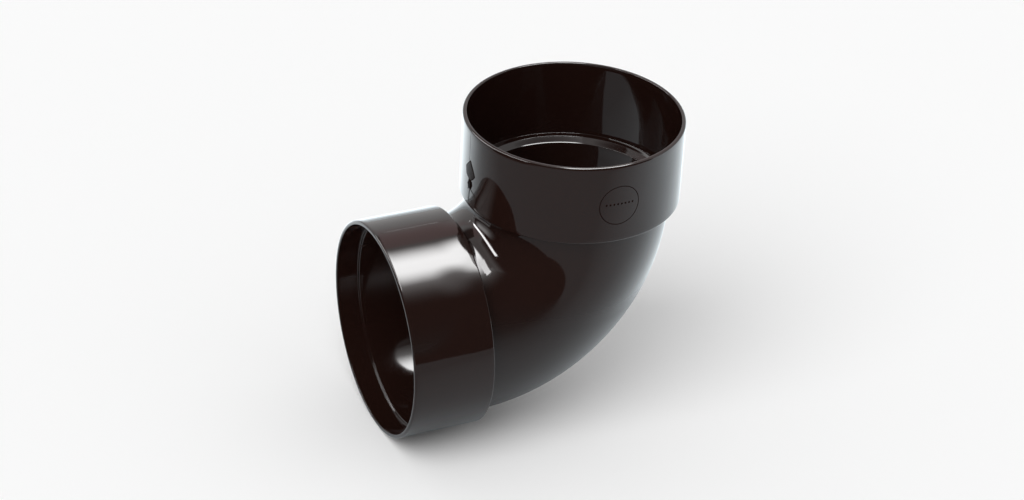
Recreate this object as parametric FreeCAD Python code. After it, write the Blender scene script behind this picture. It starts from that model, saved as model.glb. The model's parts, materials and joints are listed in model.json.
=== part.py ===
import FreeCAD, Part

import math
import os

# A downpipe elbow moulded in one piece: two pipe sockets joined by a tight hollow bend.
# The inlet socket opens upwards and the outlet socket opens towards -X. The origin is the
# centre of the inlet's pipe seat, +Z runs up the inlet's axis, and XZ is the symmetry plane.
# All sizes are in millimetres and degrees.

# Pipe and wall
pipe_radius = 50.0
pipe_clearance = 0.3
wall = 2.0

# Sockets
socket_depth = 38.0
socket_draft = 0.5
seat_width = 3.1
taper_width = 2.4
taper_depth = 2.4
stub_length = 1.5

# Step inside the outlet's mouth, where its wall grows thicker
step_depth = 10.8
step_width = 1.9

# Bend
bend_angle = 87.5
throat_radius = 10.2

# Rounded edges
rim_outer_round = 1.0
rim_inner_round = 0.5
seat_corner_round = 0.5
step_edge_round = 0.4
step_corner_round = 0.3
shoulder_round = 0.6
root_round = 1.0

# Radii that follow from the pipe and the wall
bore_radius = pipe_radius + pipe_clearance
mouth_radius = bore_radius + wall
passage_radius = bore_radius - seat_width - taper_width
body_radius = passage_radius + wall
bend_radius = throat_radius + body_radius
stepped_radius = bore_radius - step_width

# Heights along a socket's own axis, from its pipe seat
step_height = socket_depth - step_depth
shoulder_height = -wall
base_height = -max(wall + stub_length, taper_depth)
shoulder_radius = mouth_radius - (socket_depth + wall) * math.tan(math.radians(socket_draft))

# Half of the wall is the most that one of its rims can be rounded by
widest_round = 0.5 * wall


def solid_of_revolution(profile):
    """Turn a closed outline of (radius, height) points about the Z axis."""
    corners = [FreeCAD.Vector(radius, 0, height) for radius, height in profile]
    outline = Part.makePolygon(corners + corners[:1])
    return Part.Face(outline).revolve(FreeCAD.Vector(), FreeCAD.Vector(0, 0, 1), 360)


def ring_edge(solid, radius, height):
    """The circular edge of a turned solid at this radius and height."""
    for edge in solid.Edges:
        if not isinstance(edge.Curve, Part.Circle):
            continue
        same_radius = abs(edge.Curve.Radius - radius) < 1e-4
        if same_radius and abs(edge.Curve.Center.z - height) < 1e-4:
            return edge
    raise ValueError("no ring edge at radius %.3f, height %.3f" % (radius, height))


def rounded(solid, radius, height, size):
    """Round one ring edge of a turned solid, as far as its wall allows."""
    edge = ring_edge(solid, radius, height)
    return solid.makeFillet(min(size, widest_round), [edge])


def socket(floor_radius, step):
    """One pipe socket: mouth, bore, flat pipe seat, taper and shoulder, along +Z from its seat.

    The bore reaches the seat at the floor radius, past the corners of a step where it has one.
    """
    profile = [
        (mouth_radius, socket_depth),
        (bore_radius, socket_depth),
        *step,
        (floor_radius, 0),
        (bore_radius - seat_width, 0),
        (passage_radius, -taper_depth),
        (passage_radius, base_height),
        (body_radius, base_height),
        (body_radius, shoulder_height),
        (shoulder_radius, shoulder_height),
    ]
    ring = solid_of_revolution(profile)
    ring = rounded(ring, mouth_radius, socket_depth, rim_outer_round)
    ring = rounded(ring, bore_radius, socket_depth, rim_inner_round)
    ring = rounded(ring, floor_radius, 0, seat_corner_round)
    ring = rounded(ring, shoulder_radius, shoulder_height, shoulder_round)
    return rounded(ring, body_radius, shoulder_height, root_round)


def inlet_socket():
    """The upper socket, with one plain bore down to its seat."""
    return socket(bore_radius, [])


def outlet_socket():
    """The lower socket, whose bore steps in a short way inside its mouth."""
    ring = socket(stepped_radius, [(bore_radius, step_height), (stepped_radius, step_height)])
    ring = rounded(ring, stepped_radius, step_height, step_edge_round)
    return rounded(ring, bore_radius, step_height, step_corner_round)


def bend():
    """The hollow quarter bend that turns down from the inlet and out towards -X."""
    start = FreeCAD.Vector(0, 0, base_height)
    down = FreeCAD.Vector(0, 0, -1)
    rings = [Part.Wire(Part.makeCircle(radius, start, down)) for radius in (body_radius, passage_radius)]
    section = Part.Face(rings[0]).cut(Part.Face(rings[1]))
    pivot = FreeCAD.Vector(-bend_radius, 0, base_height)
    return section.revolve(pivot, FreeCAD.Vector(0, 1, 0), bend_angle)


def outlet_placement():
    """Where the outlet socket sits: at the far end of the bend, mouth first."""
    turn = math.radians(bend_angle)
    way_out = FreeCAD.Vector(-math.sin(turn), 0, -math.cos(turn))
    bend_end = FreeCAD.Vector(
        -bend_radius + bend_radius * math.cos(turn),
        0,
        base_height - bend_radius * math.sin(turn),
    )
    seat = bend_end - way_out * base_height
    tilt = FreeCAD.Rotation(FreeCAD.Vector(0, 1, 0), bend_angle - 180)
    return FreeCAD.Placement(seat, tilt)


def elbow():
    """Both sockets and the bend between them, as one moulding."""
    inlet = inlet_socket()
    outlet = outlet_socket()
    outlet.Placement = outlet_placement()
    solids = inlet.fuse([bend(), outlet]).removeSplitter().Solids
    if len(solids) != 1:
        raise ValueError("the moulding came out as %d solids" % len(solids))
    return solids[0]


os.makedirs("parts", exist_ok=True)
elbow_body = elbow()
elbow_body.exportStep("parts/elbow_body.step")
print("elbow_body: %.2f cm3, valid: %s" % (elbow_body.Volume / 1000, elbow_body.isValid()))
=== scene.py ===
import json
import math

import bpy
from mathutils import Matrix, Vector


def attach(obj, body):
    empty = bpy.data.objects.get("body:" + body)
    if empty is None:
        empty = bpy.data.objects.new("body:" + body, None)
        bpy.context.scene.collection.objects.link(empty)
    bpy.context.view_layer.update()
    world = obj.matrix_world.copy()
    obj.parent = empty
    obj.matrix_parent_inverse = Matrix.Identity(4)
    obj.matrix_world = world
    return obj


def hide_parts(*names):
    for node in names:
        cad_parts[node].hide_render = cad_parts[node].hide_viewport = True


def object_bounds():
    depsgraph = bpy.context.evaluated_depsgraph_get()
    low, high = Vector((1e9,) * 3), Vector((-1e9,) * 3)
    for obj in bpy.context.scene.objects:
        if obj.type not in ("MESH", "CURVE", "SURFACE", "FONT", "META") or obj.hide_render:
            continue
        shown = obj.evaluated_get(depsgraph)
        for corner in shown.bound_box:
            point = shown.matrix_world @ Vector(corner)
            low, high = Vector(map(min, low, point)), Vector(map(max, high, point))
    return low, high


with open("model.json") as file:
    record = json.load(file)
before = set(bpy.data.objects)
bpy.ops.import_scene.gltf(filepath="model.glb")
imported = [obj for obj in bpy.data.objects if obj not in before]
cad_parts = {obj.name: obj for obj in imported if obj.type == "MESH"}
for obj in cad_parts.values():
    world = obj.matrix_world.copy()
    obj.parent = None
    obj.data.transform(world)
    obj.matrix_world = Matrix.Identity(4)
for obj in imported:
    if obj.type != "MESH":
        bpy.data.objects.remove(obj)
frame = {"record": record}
cad_low, cad_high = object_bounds()


# The moulding itself: two pipe sockets joined by a tight hollow bend, injection moulded in one
# wall of rigid PVC, with a step inside the lower socket's mouth. It is laid out with the bend
# straightened, as heights above the inlet's pipe seat, and is then bent round a pivot.

mounts = {mount["name"]: mount for mount in frame["record"]["mounts"]}
outlet_step = Vector(mounts["outlet_socket"]["pos_m"])
outlet_way = Vector(mounts["outlet_socket"]["axis"])

wall = 0.0020
bore_radius = mounts["inlet_socket"]["dims"]["r_mm"] / 1000
mouth_radius = cad_high.y
socket_depth = cad_high.z
socket_draft = math.tan(math.radians(0.5))
shoulder_radius = mouth_radius - (socket_depth + wall) * socket_draft
seat_width = 0.0031
taper_width = 0.0024
taper_depth = 0.0024
step_depth = 0.0108
step_width = 0.0019
step_height = socket_depth - step_depth
stepped_radius = bore_radius - step_width
passage_radius = bore_radius - seat_width - taper_width
body_radius = passage_radius + wall

bend_start = -0.0035
bend_angle = math.atan2(-outlet_way.x, -outlet_way.z)
outlet_seat = outlet_step - outlet_way * step_height
bend_radius = (bend_start * math.sin(bend_angle) - outlet_seat.x) / (1 - math.cos(bend_angle))
straight_length = bend_radius * bend_angle - 2 * bend_start

rim_outer_round = 0.0010
rim_inner_round = 0.0005
shoulder_round = 0.0006
root_round = 0.0010
step_edge_round = 0.0004
step_corner_round = 0.0003
seat_edge_round = 0.0002
inlet_seat_round = 0.00015
inlet_taper_round = 0.0001
outlet_seat_round = 0.0005
outlet_taper_round = 0.0003
worn_width = 0.00035
worn_height = 0.00021

longest_facet = 0.0018
facets_per_arc = 7
facets_around = 256


def add(tree, kind, inputs=None, **settings):
    """Add a node, set its options, and give its inputs their values or links."""
    made = tree.nodes.new(kind)
    for name, value in settings.items():
        setattr(made, name, value)
    for key, value in (inputs or {}).items():
        socket = made.inputs[key]
        if isinstance(value, bpy.types.NodeSocket):
            tree.links.new(value, socket)
        else:
            socket.default_value = value
    return made


def socket_list(tree, direction, sockets):
    """Give a node tree its named inputs or outputs, with their starting values."""
    for name, kind, value in sockets:
        made = tree.interface.new_socket(name, in_out=direction, socket_type="NodeSocket" + kind)
        if value is not None:
            made.default_value = value


def arithmetic(tree, operation, *values, **settings):
    """One step of arithmetic in a node tree, as the socket that gives its result."""
    step = add(tree, "ShaderNodeMath", dict(enumerate(values)), operation=operation, **settings)
    return step.outputs[0]


def measured(tree, operation, *vectors):
    """A length, distance or dot product in a node tree, as the socket that gives it."""
    step = add(tree, "ShaderNodeVectorMath", dict(enumerate(vectors)), operation=operation)
    return step.outputs["Value"]


def joined(tree, *parts):
    """A vector that a node tree puts together from its X, Y and Z."""
    return add(tree, "ShaderNodeCombineXYZ", dict(enumerate(parts))).outputs[0]


def split(tree, vector):
    """The X, Y and Z that a node tree takes out of a vector."""
    return add(tree, "ShaderNodeSeparateXYZ", {0: vector}).outputs


def noise(tree, place, scale, detail):
    """A cloudy pattern in a node tree, with values round a half."""
    pattern = add(tree, "ShaderNodeTexNoise", {"Vector": place, "Scale": scale, "Detail": detail})
    return pattern.outputs["Fac"]


def faded(tree, value, start, end, shape="SMOOTHSTEP"):
    """A value that rises from 0 at the start to 1 at the end, smoothly or evenly."""
    fade = add(tree, "ShaderNodeMapRange", {
        "Value": value, "From Min": start, "From Max": end}, interpolation_type=shape)
    return fade.outputs["Result"]


# The plastic is coloured through a deep chocolate brown. Its skin copies the polished mould:
# almost a mirror, with a faint waviness from shrinkage and a very fine grain. The core left
# the passage through the bend duller, and smeared the near side of the lower bore.

deep_brown = (0.0115, 0.0049, 0.0037)
warm_brown = (0.0145, 0.0061, 0.0047)
pvc_refraction = 1.5
bump_height = 0.001
least_smear = 0.35
most_smear = 0.75
core_radius = passage_radius + 0.0010
core_depth = (-0.03, -0.05)
smeared_wall = (bore_radius + 0.0003, bore_radius - 0.0009)
smeared_side = (-0.012, -0.028)


def left_by_core(tree, place):
    """How far each spot lies in what the core left dull: 1 there and 0 elsewhere."""
    from_pivot = add(tree, "ShaderNodeVectorMath", {0: place, 1: (bend_radius, 0, -bend_start)})
    in_plane = add(tree, "ShaderNodeVectorMath", {
        0: from_pivot.outputs[0], 1: (1, 0, 1)}, operation="MULTIPLY")
    reach_out = measured(tree, "LENGTH", in_plane.outputs[0])
    off_line = arithmetic(tree, "SUBTRACT", reach_out, bend_radius)
    spot = split(tree, place)
    from_line = measured(tree, "LENGTH", joined(tree, off_line, spot["Y"]))
    in_passage = arithmetic(tree, "LESS_THAN", from_line, core_radius)
    near_side = faded(tree, spot["Y"], *smeared_side)
    near_wall = faded(tree, from_line, *smeared_wall, shape="LINEAR")
    smeared = arithmetic(tree, "MULTIPLY", near_side, near_wall)
    either = arithmetic(tree, "MAXIMUM", in_passage, smeared)
    deep_enough = faded(tree, spot["Z"], *core_depth, shape="LINEAR")
    return arithmetic(tree, "MULTIPLY", either, deep_enough)


def moulded_surface():
    """What varies over a moulded plastic surface: its colour, its roughness and its height."""
    tree = bpy.data.node_groups.new("moulded_surface", "ShaderNodeTree")
    socket_list(tree, "INPUT", [
        ("Deep Colour", "Color", None),
        ("Warm Colour", "Color", None),
        ("Polish", "Float", 0.06),
        ("Dullness", "Float", 0.1),
        ("Core Dullness", "Float", 0.4),
        ("Shrinkage Waves", "Float", 1.0),
        ("Fine Grain", "Float", 1.0),
    ])
    socket_list(tree, "OUTPUT", [
        ("Colour", "Color", None),
        ("Roughness", "Float", None),
        ("Height", "Float", None),
    ])
    given = add(tree, "NodeGroupInput").outputs
    place = add(tree, "ShaderNodeTexCoord").outputs["Object"]
    colour = add(tree, "ShaderNodeMix", {
        "Factor": noise(tree, place, scale=14.0, detail=3.0),
        "A": given["Deep Colour"],
        "B": given["Warm Colour"],
    }, data_type="RGBA")
    roughness = add(tree, "ShaderNodeMapRange", {
        "Value": noise(tree, place, scale=45.0, detail=5.0),
        "From Min": least_smear,
        "From Max": most_smear,
        "To Min": given["Polish"],
        "To Max": given["Dullness"],
    })
    dulled = add(tree, "ShaderNodeMix", {
        "Factor": left_by_core(tree, place),
        "A": roughness.outputs["Result"],
        "B": given["Core Dullness"],
    })
    waves = noise(tree, place, scale=55.0, detail=1.0)
    wave_height = arithmetic(tree, "MULTIPLY", waves, given["Shrinkage Waves"])
    grain = noise(tree, place, scale=900.0, detail=2.0)
    grain_height = arithmetic(tree, "MULTIPLY", grain, given["Fine Grain"])
    add(tree, "NodeGroupOutput", {
        "Colour": colour.outputs["Result"],
        "Roughness": dulled.outputs["Result"],
        "Height": arithmetic(tree, "ADD", wave_height, grain_height),
    })
    return tree


surface = moulded_surface()


def plastic(name, polish, dullness, waves, grain, shine=0.5, shade_tone=1.0):
    """One finish of the brown plastic, from its moulded surface; a tone below 1 paints shade on it.
    """
    material = bpy.data.materials.new(name)
    material.use_nodes = True
    tree = material.node_tree
    shader = tree.nodes["Principled BSDF"]
    shader.inputs["IOR"].default_value = pvc_refraction
    shader.inputs["Specular IOR Level"].default_value = shine
    skin = add(tree, "ShaderNodeGroup", {
        "Deep Colour": (*(part * shade_tone for part in deep_brown), 1),
        "Warm Colour": (*(part * shade_tone for part in warm_brown), 1),
        "Polish": polish,
        "Dullness": dullness,
        "Shrinkage Waves": waves,
        "Fine Grain": grain,
    }, node_tree=surface)
    bump = add(tree, "ShaderNodeBump", {
        "Height": skin.outputs["Height"], "Distance": bump_height})
    tree.links.new(skin.outputs["Colour"], shader.inputs["Base Color"])
    tree.links.new(skin.outputs["Roughness"], shader.inputs["Roughness"])
    tree.links.new(bump.outputs["Normal"], shader.inputs["Normal"])
    return material


gloss_brown = plastic("gloss_brown", polish=0.045, dullness=0.085, waves=0.12, grain=0.0006)


def arc_points(before, corner, after, size):
    """The points that replace a corner of an outline with an arc of this radius."""
    way_in = (corner - before).normalized()
    way_out = (after - corner).normalized()
    turn = math.atan2(way_in.cross(way_out), way_in.dot(way_out))
    start = corner - way_in * size * math.tan(abs(turn) / 2)
    to_centre = Vector((-way_in.y, way_in.x)) * math.copysign(size, turn)
    steps = [turn * k / facets_per_arc for k in range(facets_per_arc + 1)]
    return [start + to_centre - Matrix.Rotation(step, 2) @ to_centre for step in steps]


def rounded_outline(corners):
    """A closed outline of corners (across, up, size of the rounding) as points."""
    places = [Vector((across, up)) for across, up, size in corners]
    points = []
    for k, corner in enumerate(corners):
        points += arc_points(places[k - 1], places[k], places[(k + 1) % len(places)], corner[2])
    return points


def divided(points, longest):
    """The same closed outline with its long runs divided evenly."""
    result = []
    for here, there in zip(points, points[1:] + points[:1]):
        pieces = max(1, math.ceil((there - here).length / longest))
        result += [here.lerp(there, k / pieces) for k in range(pieces)]
    return result


def mirrored(corners):
    """The outlet half of a run of corners, from the inlet half."""
    return [(radius, -straight_length - height, size) for radius, height, size in reversed(corners)]


def drawn_curve(name, points, closed):
    """A flat curve through these points, for a node tree to work on."""
    curve = bpy.data.curves.new(name, "CURVE")
    line = curve.splines.new("POLY")
    line.points.add(len(points) - 1)
    for spot, point in zip(line.points, points):
        spot.co = (*point, 0, 1)
    line.use_cyclic_u = closed
    made = bpy.data.objects.new(name, curve)
    bpy.context.scene.collection.objects.link(made)
    return made


def shape_tree(name, sizes):
    """A node tree from one shape to another, and the sockets that give it its named sizes."""
    tree = bpy.data.node_groups.new(name, "GeometryNodeTree")
    socket_list(tree, "INPUT", [("Geometry", "Geometry", None)] + sizes)
    socket_list(tree, "OUTPUT", [("Geometry", "Geometry", None)])
    return tree, add(tree, "NodeGroupInput").outputs


def bending():
    """A node group that bends straightened geometry the way the elbow turns."""
    tree, given = shape_tree("bend_into_elbow", [
        ("Bend Start", "Float", bend_start),
        ("Bend Radius", "Float", bend_radius),
        ("Bend Angle", "Float", bend_angle),
    ])
    place = split(tree, add(tree, "GeometryNodeInputPosition").outputs[0])
    bend_length = arithmetic(tree, "MULTIPLY", given["Bend Radius"], given["Bend Angle"])
    depth = arithmetic(tree, "SUBTRACT", given["Bend Start"], place["Z"])
    along = add(tree, "ShaderNodeClamp", {0: depth, 1: 0.0, 2: bend_length}).outputs[0]
    angle = arithmetic(tree, "DIVIDE", along, given["Bend Radius"])
    height = arithmetic(tree, "ADD", place["Z"], along)
    side = arithmetic(tree, "MULTIPLY", given["Bend Radius"], -1.0)
    turned = add(tree, "ShaderNodeVectorRotate", {
        "Vector": joined(tree, place["X"], place["Y"], height),
        "Center": joined(tree, side, 0.0, given["Bend Start"]),
        "Angle": angle,
    }, rotation_type="Y_AXIS")
    moved = add(tree, "GeometryNodeSetPosition", {
        "Geometry": given["Geometry"], "Position": turned.outputs[0]})
    add(tree, "NodeGroupOutput", {"Geometry": moved.outputs[0]})
    return tree


bend_into_elbow = bending()


def finished(tree, geometry, material, settle=None):
    """End a node tree: bend what it made, let it settle, shade it smooth and paint it."""
    bent = add(tree, "GeometryNodeGroup", {"Geometry": geometry}, node_tree=bend_into_elbow)
    settled = settle(tree, bent.outputs[0]) if settle else bent.outputs[0]
    smooth = add(tree, "GeometryNodeSetShadeSmooth", {"Geometry": settled})
    real = add(tree, "GeometryNodeRealizeInstances", {"Geometry": smooth.outputs[0]})
    painted = add(tree, "GeometryNodeSetMaterial", {
        "Geometry": real.outputs[0], "Material": material})
    add(tree, "NodeGroupOutput", {"Geometry": painted.outputs[0]})


def applied(base, tree, values, name):
    """Run a node tree on an object and keep the result as a plain mesh piece."""
    modifier = base.modifiers.new("shape", "NODES")
    modifier.node_group = tree
    for item in tree.interface.items_tree:
        if item.item_type == "SOCKET" and item.in_out == "INPUT" and item.name in values:
            modifier[item.identifier] = values[item.name]
    state = bpy.context.evaluated_depsgraph_get()
    mesh = bpy.data.meshes.new_from_object(base.evaluated_get(state))
    mesh.name = name
    base.modifiers.remove(modifier)
    bpy.data.objects.remove(base)
    piece = bpy.data.objects.new(name, mesh)
    bpy.context.scene.collection.objects.link(piece)
    return piece


# By the lower shoulder the outside sank and swelled a little as the plastic cooled.

sink_mark = {"centre": (-0.072, -0.033, -0.021), "reach": 0.010, "rise": -0.00026}
small_swelling = {"centre": (-0.058, -0.032, -0.021), "reach": 0.008, "rise": 0.00022}
large_swelling = {"centre": (-0.056, -0.013, -0.011), "reach": 0.016, "rise": 0.00080}
up_and_forward = (0, -0.25, 0.97)
outside_facing = 0.5


def cooled(tree, geometry):
    """Move the outside of the bent wall along its normals, where it sank or swelled."""
    place = add(tree, "GeometryNodeInputPosition").outputs[0]
    normal = add(tree, "GeometryNodeInputNormal").outputs[0]
    facing = measured(tree, "DOT_PRODUCT", normal, up_and_forward)
    outside = faded(tree, facing, 0.0, outside_facing, shape="LINEAR")
    height = 0.0
    for mark in (sink_mark, small_swelling, large_swelling):
        spot = add(tree, "ShaderNodeMapRange", {
            "Value": measured(tree, "DISTANCE", place, mark["centre"]),
            "From Min": 0.0,
            "From Max": mark["reach"],
            "To Min": mark["rise"],
            "To Max": 0.0,
        }, interpolation_type="SMOOTHSTEP")
        height = arithmetic(tree, "ADD", height, spot.outputs["Result"])
    lift = arithmetic(tree, "MULTIPLY", height, outside)
    offset = add(tree, "ShaderNodeVectorMath", {0: normal, "Scale": lift}, operation="SCALE")
    moved = add(tree, "GeometryNodeSetPosition", {
        "Geometry": geometry, "Offset": offset.outputs[0]})
    return moved.outputs[0]


def turned_wall():
    """A node tree that turns the wall's section about the pipe axis and bends the result."""
    tree, given = shape_tree("turned_and_bent_wall", [
        ("Bore Radius", "Float", bore_radius),
        ("Facets Around", "Int", facets_around),
    ])
    round_path = add(tree, "GeometryNodeCurvePrimitiveCircle", {
        "Resolution": given["Facets Around"], "Radius": given["Bore Radius"]})
    turned = add(tree, "GeometryNodeCurveToMesh", {
        "Curve": round_path.outputs["Curve"], "Profile Curve": given["Geometry"]})
    finished(tree, turned.outputs[0], gloss_brown, settle=cooled)
    return tree


outer_corners = [
    (mouth_radius, socket_depth, rim_outer_round),
    (shoulder_radius, -wall, shoulder_round),
    (body_radius, -wall, root_round),
]
inlet_bore = [
    (passage_radius, -taper_depth, inlet_taper_round),
    (passage_radius + worn_width, -taper_depth + worn_height, inlet_taper_round),
    (bore_radius - seat_width, 0, seat_edge_round),
    (bore_radius, 0, inlet_seat_round),
    (bore_radius, socket_depth, rim_inner_round),
]
outlet_bore = [
    (passage_radius, -taper_depth, outlet_taper_round),
    (bore_radius - seat_width, 0, seat_edge_round),
    (stepped_radius, 0, outlet_seat_round),
    (stepped_radius, step_height, step_edge_round),
    (bore_radius, step_height, step_corner_round),
    (bore_radius, socket_depth, rim_inner_round),
]
wall_corners = outer_corners + mirrored(outer_corners) + mirrored(outlet_bore) + inlet_bore
wall_section = divided(rounded_outline(wall_corners), longest_facet)
from_bore = [(point.x - bore_radius, -point.y) for point in wall_section]
elbow_skin = applied(drawn_curve("wall_section", from_bore, closed=True), turned_wall(), {
    "Bore Radius": bore_radius,
    "Facets Around": facets_around,
}, "elbow_skin")
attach(elbow_skin, "root")
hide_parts("elbow_body")


# The parting line: a hair-fine ridge in the plane of symmetry, where the two halves of the
# mould met. It runs over the throat from rim to rim, and down the heel short of the rims.

throat_outlet_gap = 0.0012
heel_inlet_gap = 0.0080
heel_outlet_gap = 0.0030
bead_facets = 10
closed_tip = 0.000002


def moulded_bead():
    """A node group that lays a half-buried bead along a curve, with rounded ends."""
    tree, given = shape_tree("moulded_bead", [
        ("In Plane", "Float", 0.0002),
        ("Off Plane", "Float", 0.0001),
        ("End Taper", "Float", 0.002),
    ])
    level = add(tree, "GeometryNodeSetCurveNormal", {"Curve": given["Geometry"]}, mode="Z_UP")
    done = add(tree, "GeometryNodeSplineParameter").outputs["Length"]
    whole = add(tree, "GeometryNodeSplineLength").outputs["Length"]
    left = arithmetic(tree, "SUBTRACT", whole, done)
    from_end = arithmetic(tree, "MINIMUM", done, left)
    share = arithmetic(tree, "DIVIDE", from_end, given["End Taper"], use_clamp=True)
    closed = add(tree, "GeometryNodeInputSplineCyclic").outputs[0]
    either = arithmetic(tree, "MAXIMUM", share, closed)
    rest = arithmetic(tree, "SUBTRACT", 2.0, either)
    size = arithmetic(tree, "SQRT", arithmetic(tree, "MULTIPLY", either, rest))
    circle = add(tree, "GeometryNodeCurvePrimitiveCircle", {
        "Resolution": bead_facets, "Radius": 1.0})
    section = add(tree, "GeometryNodeTransform", {
        "Geometry": circle.outputs["Curve"],
        "Scale": joined(tree, given["In Plane"], given["Off Plane"], 1.0),
    })
    swept = add(tree, "GeometryNodeCurveToMesh", {
        "Curve": level.outputs[0], "Profile Curve": section.outputs[0], "Scale": size})
    merged = add(tree, "GeometryNodeMergeByDistance", {
        "Geometry": swept.outputs[0], "Distance": closed_tip})
    add(tree, "NodeGroupOutput", {"Geometry": merged.outputs[0]})
    return tree


bead_group = moulded_bead()


def parting_ridge():
    """A node tree that turns a drawn outline upright, as a ridge along the bent elbow."""
    tree, given = shape_tree("parting_ridge", [
        ("Ridge Height", "Float", 0.00007),
        ("Ridge Half Width", "Float", 0.00018),
        ("End Taper", "Float", 0.006),
    ])
    bead = add(tree, "GeometryNodeGroup", {
        "Geometry": given["Geometry"],
        "In Plane": given["Ridge Height"],
        "Off Plane": given["Ridge Half Width"],
        "End Taper": given["End Taper"],
    }, node_tree=bead_group)
    upright = add(tree, "GeometryNodeTransform", {
        "Geometry": bead.outputs[0], "Rotation": (math.pi / 2, 0, 0)})
    finished(tree, upright.outputs[0], gloss_brown)
    return tree


outlet_rim = min(range(len(wall_section)), key=lambda k: wall_section[k].y)
outer_skin = wall_section[:outlet_rim + 1]
lowest = wall_section[outlet_rim].y
throat_run = [(-point.x, point.y) for point in outer_skin
              if lowest + throat_outlet_gap < point.y < socket_depth - rim_outer_round]
heel_run = [(point.x, point.y) for point in outer_skin
            if lowest + heel_outlet_gap < point.y < socket_depth - heel_inlet_gap]
for name, run in (("throat_parting_line", throat_run), ("heel_parting_line", heel_run)):
    ridge = applied(drawn_curve(name + "_path", run, closed=False), parting_ridge(), {}, name)
    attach(ridge, "root")


# The round insert mark: a disc-shaped insert stood in the mould here. It left a fine raised
# ring on the upper socket's front, and inside it a row of small plain dashes, all in the same
# plastic, which is rougher here. The mark's colour is darkened and its gloss nearly taken
# away: painted shade along the ring and the dashes.

# Painted shade: a darker tone and almost no gloss make the ring, the dashes and the gate lozenge
# look shaded.
dull_shaded_brown = plastic(
    "dull_shaded_brown", polish=0.22, dullness=0.30, waves=0.02, grain=0.01, shine=0.02, shade_tone=0.7)


def wrapping():
    """A node group that wraps flat drawings round a socket: X around, Y up, Z outwards."""
    tree, given = shape_tree("wrap_round_socket", [
        ("Angle", "Float", 0.0),
        ("Mouth Radius", "Float", mouth_radius),
        ("Socket Depth", "Float", socket_depth),
        ("Draft", "Float", socket_draft),
    ])
    place = split(tree, add(tree, "GeometryNodeInputPosition").outputs[0])
    sunk = arithmetic(tree, "SUBTRACT", given["Socket Depth"], place["Y"])
    drafted = arithmetic(tree, "MULTIPLY", sunk, given["Draft"])
    surface_radius = arithmetic(tree, "SUBTRACT", given["Mouth Radius"], drafted)
    radius = arithmetic(tree, "ADD", surface_radius, place["Z"])
    arc = arithmetic(tree, "DIVIDE", place["X"], given["Mouth Radius"])
    angle = arithmetic(tree, "ADD", given["Angle"], arc)
    across = arithmetic(tree, "MULTIPLY", radius, arithmetic(tree, "COSINE", angle))
    deep = arithmetic(tree, "MULTIPLY", radius, arithmetic(tree, "SINE", angle))
    moved = add(tree, "GeometryNodeSetPosition", {
        "Geometry": given["Geometry"], "Position": joined(tree, across, deep, place["Y"])})
    add(tree, "NodeGroupOutput", {"Geometry": moved.outputs[0]})
    return tree


wrap_group = wrapping()


def insert_mark():
    """A node tree for a ring with a row of dashes in it, wrapped onto the upper socket."""
    tree, given = shape_tree("round_insert_mark", [
        ("Angle", "Float", math.radians(-88)),
        ("Centre Height", "Float", 0.0172),
        ("Ring Radius", "Float", 0.0100),
        ("Ring Facets", "Int", 120),
        ("Dash Count", "Int", 8),
        ("Dash Length", "Float", 0.0010),
        ("Dash Pitch", "Float", 0.0019),
        ("Dash Half Width", "Float", 0.00055),
        ("Dash Height", "Float", 0.00014),
        ("Dash Taper", "Float", 0.00035),
        ("Dash Points", "Int", 13),
        ("Row Rise", "Float", 0.0007),
        ("Line Half Width", "Float", 0.00022),
        ("Line Height", "Float", 0.00008),
    ])
    ring = add(tree, "GeometryNodeCurvePrimitiveCircle", {
        "Resolution": given["Ring Facets"], "Radius": given["Ring Radius"]})
    ring_bead = add(tree, "GeometryNodeGroup", {
        "Geometry": ring.outputs["Curve"],
        "In Plane": given["Line Half Width"],
        "Off Plane": given["Line Height"],
    }, node_tree=bead_group)
    dash_line = add(tree, "GeometryNodeCurvePrimitiveLine", {
        "Start": (0, 0, 0), "End": joined(tree, given["Dash Length"])})
    dash_points = add(tree, "GeometryNodeResampleCurve", {
        "Curve": dash_line.outputs[0], "Count": given["Dash Points"]})
    dash = add(tree, "GeometryNodeGroup", {
        "Geometry": dash_points.outputs[0],
        "In Plane": given["Dash Half Width"],
        "Off Plane": given["Dash Height"],
        "End Taper": given["Dash Taper"],
    }, node_tree=bead_group)
    row = add(tree, "GeometryNodeMeshLine", {
        "Count": given["Dash Count"], "Offset": joined(tree, given["Dash Pitch"])})
    steps = arithmetic(tree, "SUBTRACT", given["Dash Count"], 1.0)
    span = arithmetic(tree, "MULTIPLY", steps, given["Dash Pitch"])
    length = arithmetic(tree, "ADD", span, given["Dash Length"])
    start = arithmetic(tree, "MULTIPLY", length, -0.5)
    centred = add(tree, "GeometryNodeTransform", {
        "Geometry": row.outputs[0], "Translation": joined(tree, start, given["Row Rise"])})
    dashes = add(tree, "GeometryNodeInstanceOnPoints", {
        "Points": centred.outputs[0], "Instance": dash.outputs[0]})
    real_dashes = add(tree, "GeometryNodeRealizeInstances", {"Geometry": dashes.outputs[0]})
    both = add(tree, "GeometryNodeJoinGeometry", {"Geometry": ring_bead.outputs[0]})
    tree.links.new(real_dashes.outputs[0], both.inputs["Geometry"])
    placed = add(tree, "GeometryNodeTransform", {
        "Geometry": both.outputs[0], "Translation": joined(tree, 0.0, given["Centre Height"])})
    wrapped = add(tree, "GeometryNodeGroup", {
        "Geometry": placed.outputs[0], "Angle": given["Angle"]}, node_tree=wrap_group)
    finished(tree, wrapped.outputs[0], dull_shaded_brown)
    return tree


stand_in = drawn_curve("round_insert_mark_base", [(0, 0), (0.001, 0)], closed=False)
round_mark = applied(stand_in, insert_mark(), {}, "round_insert_mark")
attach(round_mark, "root")


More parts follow.
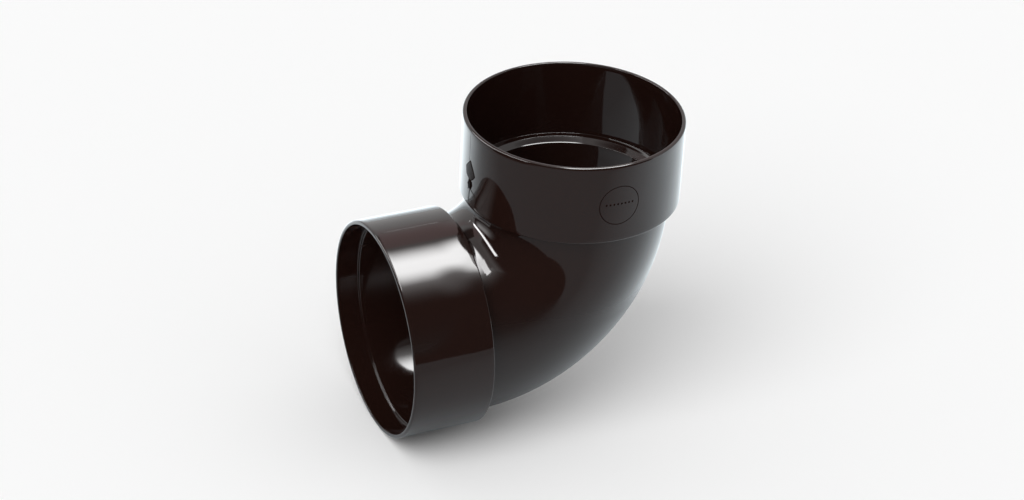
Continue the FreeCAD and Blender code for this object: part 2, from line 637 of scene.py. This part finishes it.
# The gate mark: where the plastic was fed into the mould, beside the throat. A thin skewed
# lozenge stands proud of the upper socket, with the trimmed stub of the feed below it. The
# stub was cut with a blade, so it is rough, and fine seams run from it. The lozenge, the stub
# and the seams are darkened and have almost no gloss: painted shade.

# Painted shade: a much darker tone and almost no gloss make the stub and the seams look dark.
cut_shaded_brown = plastic(
    "cut_shaded_brown", polish=0.40, dullness=0.55, waves=0.02, grain=0.03, shine=0.02, shade_tone=0.4)
gate_angle = math.radians(-179.2)
stub_angle = math.radians(-178.2)
gate_facet = 0.0004
lozenge_height = 0.00012


def seam_tree():
    """A node tree that lays a fine bead along a flat line and wraps it onto the upper socket."""
    tree, given = shape_tree("gate_seam", [
        ("Angle", "Float", gate_angle),
        ("Half Width", "Float", 0.0002),
        ("Height", "Float", 0.00016),
        ("End Taper", "Float", 0.0010),
        ("Facet Length", "Float", 0.0003),
    ])
    even = add(tree, "GeometryNodeResampleCurve", {
        "Curve": given["Geometry"], "Length": given["Facet Length"]}, mode="LENGTH")
    bead = add(tree, "GeometryNodeGroup", {
        "Geometry": even.outputs[0],
        "In Plane": given["Half Width"],
        "Off Plane": given["Height"],
        "End Taper": given["End Taper"],
    }, node_tree=bead_group)
    wrapped = add(tree, "GeometryNodeGroup", {
        "Geometry": bead.outputs[0], "Angle": given["Angle"]}, node_tree=wrap_group)
    finished(tree, wrapped.outputs[0], cut_shaded_brown)
    return tree


def wrapped_lump(material):
    """A node tree that roughens a flat drawn lump and wraps it onto the upper socket."""
    tree, given = shape_tree("wrapped_lump", [
        ("Angle", "Float", gate_angle),
        ("Roughness", "Float", 0.0),
        ("Grain Size", "Float", 900.0),
    ])
    place = add(tree, "GeometryNodeInputPosition").outputs[0]
    grain = add(tree, "ShaderNodeTexNoise", {"Vector": place, "Scale": given["Grain Size"]})
    even = add(tree, "ShaderNodeVectorMath", {
        0: grain.outputs["Color"], 1: (0.5, 0.5, 0.5)}, operation="SUBTRACT")
    shift = add(tree, "ShaderNodeVectorMath", {
        0: even.outputs[0], "Scale": given["Roughness"]}, operation="SCALE")
    rough = add(tree, "GeometryNodeSetPosition", {
        "Geometry": given["Geometry"], "Offset": shift.outputs[0]})
    wrapped = add(tree, "GeometryNodeGroup", {
        "Geometry": rough.outputs[0], "Angle": given["Angle"]}, node_tree=wrap_group)
    finished(tree, wrapped.outputs[0], material)
    return tree


def mound(name, outline, profile):
    """A closed low mound over an outline: rings of it at each (share of its size, height)."""
    middle = sum(outline, Vector((0, 0))) / len(outline)
    count = len(outline)
    points = []
    for share, height in profile:
        points += [(*middle.lerp(point, share), height) for point in outline]
    faces = []
    for ring in range(len(profile) - 1):
        for k in range(count):
            after = (k + 1) % count
            low = ring * count
            faces.append((low + k, low + after, low + count + after, low + count + k))
    points.append((*middle, profile[-1][1]))
    top = (len(profile) - 1) * count
    faces += [(top + k, top + (k + 1) % count, len(points) - 1) for k in range(count)]
    mesh = bpy.data.meshes.new(name)
    mesh.from_pydata(points, [], faces)
    made = bpy.data.objects.new(name, mesh)
    bpy.context.scene.collection.objects.link(made)
    return made


def soft_polygon(corners, size):
    """A finely divided outline of these corners, all rounded by the same size."""
    return divided(rounded_outline([(*corner, size) for corner in corners]), gate_facet)


lozenge = soft_polygon([
    (-0.0041, 0.0177), (-0.0032, 0.0139), (0.0013, 0.0120), (0.0038, 0.0139),
    (0.0056, 0.0160), (0.0038, 0.0188), (0.0007, 0.0225)], size=0.0004)
lozenge_profile = [
    (1.0, -0.00002), (0.96, 0.00010), (0.9, lozenge_height), (0.6, lozenge_height),
    (0.3, lozenge_height)]
stub = soft_polygon([
    (-0.0010, 0.0124), (-0.0021, 0.0102), (-0.0012, 0.0080),
    (0.0010, 0.0074), (0.0022, 0.0098), (0.0016, 0.0123)], size=0.0005)
stub_profile = [(1.0, -0.0001), (0.93, 0.0003), (0.8, 0.0005), (0.6, 0.0006), (0.3, 0.0005)]
gate_pieces = [
    applied(mound("gate_lozenge_base", lozenge, lozenge_profile), wrapped_lump(dull_shaded_brown), {
        "Angle": gate_angle}, "gate_lozenge"),
    applied(mound("gate_stub_base", stub, stub_profile), wrapped_lump(cut_shaded_brown), {
        "Angle": stub_angle, "Roughness": 0.0006}, "gate_stub"),
]
gate_seam = seam_tree()
left_seam = [(0.0004, 0.0079), (-0.0017, 0.0065)]
right_seam = [(0.0014, 0.0078), (0.0035, 0.0072), (0.0066, 0.0060)]
lower_seam = [(0.0010, 0.0078), (0.0006, 0.0050), (0.0004, 0.0008)]
for name, line, closed, half_width in (
        ("gate_outline", lozenge, True, 0.00024),
        ("gate_seam_left", left_seam, False, 0.00022),
        ("gate_seam_right", right_seam, False, 0.00022),
        ("gate_seam_down", lower_seam, False, 0.00026)):
    path = drawn_curve(name + "_path", line, closed)
    gate_pieces.append(applied(path, gate_seam, {"Half Width": half_width}, name))
for piece in gate_pieces:
    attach(piece, "root")


# The studio: a wide white table under one big soft light, with a white surround. The side
# where the photographer stands is dark: dark cards there paint the gloss's dark reflections.
# The glowing cards stand for the faces of the lights but are no lamps; they are painted
# reflections that only the gloss sees. The sun is the soft top light, and the only lamp.

white = (1, 1, 1, 1)
cool_tint = (0.88, 0.96, 1.0)
sideways = (1, 0, 0)
backwards = (0, 1, 0)
upwards = (0, 0, 1)


def stage_plane(name, corners, only_for_gloss=False):
    """A flat card that belongs to the studio, as the empty node tree of its own material."""
    mesh = bpy.data.meshes.new(name)
    mesh.from_pydata(corners, [], [(0, 1, 2, 3)])
    card = bpy.data.objects.new(name, mesh)
    bpy.context.scene.collection.objects.link(card)
    material = bpy.data.materials.new(name)
    material.use_nodes = True
    material.node_tree.nodes.clear()
    mesh.materials.append(material)
    if only_for_gloss:
        card.visible_camera = False
        card.visible_diffuse = False
        card.visible_shadow = False
        card.visible_transmission = False
    return material.node_tree


def lying(x, y, z):
    """The corners of a card that lies level, over its ranges of X and Y."""
    return [(x[0], y[0], z), (x[1], y[0], z), (x[1], y[1], z), (x[0], y[1], z)]


def facing_back(x, y, z):
    """The corners of an upright card in front of or behind the elbow, over X and Z."""
    return [(x[0], y, z[0]), (x[1], y, z[0]), (x[1], y, z[1]), (x[0], y, z[1])]


def facing_right(x, y, z):
    """The corners of an upright card at the elbow's side, over its ranges of Y and Z."""
    return [(x, y[0], z[0]), (x, y[1], z[0]), (x, y[1], z[1]), (x, y[0], z[1])]


def painted_reflection_card(name, corners, strength, fades, least=0.0):
    """A glowing card that only the gloss sees: no lamp, but a painted reflection. Each fade takes
    its light from nothing to full along a direction, between two places in metres, and its least
    light stays everywhere."""
    tree = stage_plane(name, corners, only_for_gloss=True)
    place = add(tree, "ShaderNodeTexCoord").outputs["Object"]
    level = strength
    for direction, nothing, full in fades:
        along = measured(tree, "DOT_PRODUCT", place, direction)
        level = arithmetic(tree, "MULTIPLY", faded(tree, along, nothing, full), level)
    glow = add(tree, "ShaderNodeEmission", {
        "Color": white, "Strength": arithmetic(tree, "ADD", level, least)})
    add(tree, "ShaderNodeOutputMaterial", {"Surface": glow.outputs[0]})


def pool_of_light(tree, place, centre, radius, strength):
    """A soft round pool of painted light on the table, which glows in its own right."""
    away = measured(tree, "DISTANCE", place, centre)
    return arithmetic(tree, "MULTIPLY", faded(tree, away, radius, 0.0), strength)


table_height = cad_low.z - 0.0001
table_reach = (-12.0, 12.0)
table_white = (0.95, 0.95, 0.95, 1)
table = stage_plane("table", lying(table_reach, table_reach, table_height))
table_ray = add(table, "ShaderNodeLightPath").outputs
table_spot = add(table, "ShaderNodeTexCoord").outputs["Object"]
table_place = split(table, table_spot)
# Painted light: only in reflections, the table is lighter towards the back right, dimmer far behind
# and tinted cool; the camera sees it plain white.
painted_brightening = add(table, "ShaderNodeMapRange", {
    "Value": arithmetic(table, "ADD", table_place["X"], table_place["Y"]),
    "From Min": -0.25,
    "From Max": 0.45,
    "To Min": 0.42,
    "To Max": 2.1,
})
painted_far_dimming = add(table, "ShaderNodeMapRange", {
    "Value": table_place["Y"],
    "From Min": 0.4,
    "From Max": 1.2,
    "To Min": 1.0,
    "To Max": 0.6,
})
lit = arithmetic(table, "MULTIPLY", painted_brightening.outputs["Result"], painted_far_dimming.outputs["Result"])
tinted = add(table, "ShaderNodeVectorMath", {0: cool_tint, "Scale": lit}, operation="SCALE")
shade = add(table, "ShaderNodeMix", {
    "Factor": table_ray["Is Glossy Ray"],
    "A": table_white,
    "B": tinted.outputs[0],
}, data_type="RGBA")
table_skin = add(table, "ShaderNodeBsdfDiffuse", {"Color": shade.outputs["Result"]})
# Painted light: two glowing pools that only the gloss sees lift the object's shadow on the table
# where it is reflected.
side_pool = pool_of_light(
    table, table_spot, centre=(0.10, 0.0, table_height), radius=0.16, strength=0.7)
back_pool = pool_of_light(
    table, table_spot, centre=(-0.10, 0.27, table_height), radius=0.20, strength=1.3)
pools = arithmetic(table, "ADD", side_pool, back_pool)
pool_glow = add(table, "ShaderNodeEmission", {
    "Color": (*cool_tint, 1),
    "Strength": arithmetic(table, "MULTIPLY", pools, table_ray["Is Glossy Ray"]),
})
table_light = add(table, "ShaderNodeAddShader", {
    0: table_skin.outputs[0], 1: pool_glow.outputs[0]})
add(table, "ShaderNodeOutputMaterial", {"Surface": table_light.outputs[0]})

card_foot = table_height + 0.001
card_top = 1.06
front = -0.40
left = -0.33
darkness = 0.04
# Painted reflections: dark glowing cards on the camera side and at the left, brighter towards their
# tops.
painted_reflection_card(
    "front_card", facing_back((0.65, left), front, (card_foot, card_top)),
    strength=2.8, fades=[(upwards, 0.36, 1.40)], least=darkness)

# Painted highlights: two bright glowing windows in front, no lamps, that only the gloss sees.
window_y = front + 0.005
window_left = -0.22
window_foot = 0.84
window_top = 1.05
window_edge = (sideways, window_left, window_left + 0.05)
painted_reflection_card(
    "painted_front_window", facing_back((window_left, 0.05), window_y, (window_foot, window_top)),
    strength=15.0, fades=[(upwards, window_foot, window_foot + 0.05), window_edge], least=0.5)
painted_reflection_card(
    "painted_upper_window", lying((window_left, 0.10), (window_y, -0.20), window_top),
    strength=14.5, fades=[window_edge], least=0.5)

side_top = 0.70
painted_reflection_card(
    "side_card", facing_right(left, (front, 0.10), (card_foot, side_top)),
    strength=1.0, fades=[(upwards, 0.36, side_top)], least=darkness)
# Painted reflection: a dim card behind, which darkens the reflection in the neck.
painted_reflection_card(
    "back_card", facing_back((-0.32, 0.06), 0.48, (0.30, 0.86)),
    strength=0.9, fades=[(upwards, 0.44, 0.33)], least=0.1)

# Painted highlight: a very bright glowing face overhead, no lamp, which gives the big highlights.
top_right = 0.58
askew = (1, -0.40, 0)
painted_reflection_card(
    "painted_top_glow", lying((-0.40, top_right), (front, 0.60), card_top),
    strength=19.0, least=0.9, fades=[
        (backwards, -0.46, -0.05),
        (backwards, 0.57, 0.08),
        (askew, -0.125, -0.005),
        (sideways, top_right, 0.50),
    ])

# Painted highlights: two glowing strips at the left, no lamps, which put the bright streaks in the
# throat.
strip_x = -0.325
strip_front = -0.115
strip_back = 0.40
across_strip = (0, 0.214, 1)
painted_reflection_card(
    "painted_high_streak", [
        (strip_x, strip_front, 0.280), (strip_x, strip_back, 0.170),
        (strip_x, strip_back, 0.260), (strip_x, strip_front, 0.371)],
    strength=22.0, fades=[(across_strip, 0.257, 0.280), (across_strip, 0.345, 0.322)])
low_front = -0.02
low_back = 0.36
low_foot = 0.03
low_top = 0.185
painted_reflection_card(
    "painted_low_streak", facing_right(strip_x, (low_front, low_back), (low_foot, low_top)),
    strength=3.2, fades=[
        (backwards, low_front, 0.12),
        (backwards, low_back, 0.22),
        (upwards, low_foot, 0.14),
        (upwards, low_top, 0.160),
    ])

sun_way = Vector((-0.50, -0.42, 0.76))
sun_light = bpy.data.lights.new("soft_sun", "SUN")
sun_light.angle = math.radians(48)
sun_light.energy = 1.7
sun = bpy.data.objects.new("soft_sun", sun_light)
sun.rotation_euler = sun_way.to_track_quat("Z", "Y").to_euler()
sun.visible_glossy = False
bpy.context.scene.collection.objects.link(sun)

# The surround is white, dimmer where it only lights the scene. In reflections only, its upper
# back is warm: a painted reflection colour.

warm_tint = (0.92, 0.70, 0.70, 1)
surround_light = 0.6
world = bpy.data.worlds.new("white_surround")
world.use_nodes = True
bpy.context.scene.world = world
sky = world.node_tree
sky.nodes.clear()
ray = add(sky, "ShaderNodeLightPath").outputs
seen = arithmetic(sky, "ADD", ray["Is Camera Ray"], ray["Is Glossy Ray"])
seen_or_through = arithmetic(sky, "ADD", seen, ray["Is Transmission Ray"], use_clamp=True)
ambient = add(sky, "ShaderNodeBackground", {"Color": white, "Strength": surround_light})
towards = split(sky, add(sky, "ShaderNodeTexCoord").outputs["Generated"])
at_back = faded(sky, towards["Y"], 0.2, 0.6)
high_up = faded(sky, towards["Z"], 0.35, 0.7)
upper_back = arithmetic(sky, "MULTIPLY", at_back, high_up)
# Painted reflection: the warm tint shows only in the gloss.
painted_warm_reflection = add(sky, "ShaderNodeMix", {
    "Factor": arithmetic(sky, "MULTIPLY", upper_back, ray["Is Glossy Ray"]),
    "A": white,
    "B": warm_tint,
}, data_type="RGBA")
backdrop = add(sky, "ShaderNodeBackground", {
    "Color": painted_warm_reflection.outputs["Result"], "Strength": 1.0})
either = add(sky, "ShaderNodeMixShader", {
    0: seen_or_through, 1: ambient.outputs[0], 2: backdrop.outputs[0]})
add(sky, "ShaderNodeOutputWorld", {"Surface": either.outputs[0]})


# The camera stands where the photographer's did, with a long lens. Its place and its turn come
# from the same fit to the photograph's edges that gave the elbow its proportions.

camera_data = bpy.data.cameras.new("camera")
camera_data.lens = 171.34
camera_data.sensor_width = 36.0
camera = bpy.data.objects.new("camera", camera_data)
camera.location = (-0.84318, -1.80784, 1.13022)
camera.rotation_euler = [math.radians(angle) for angle in (59.609, -2.997, -22.522)]
bpy.context.scene.collection.objects.link(camera)
bpy.context.scene.camera = camera
bpy.context.scene.view_settings.view_transform = "Standard"
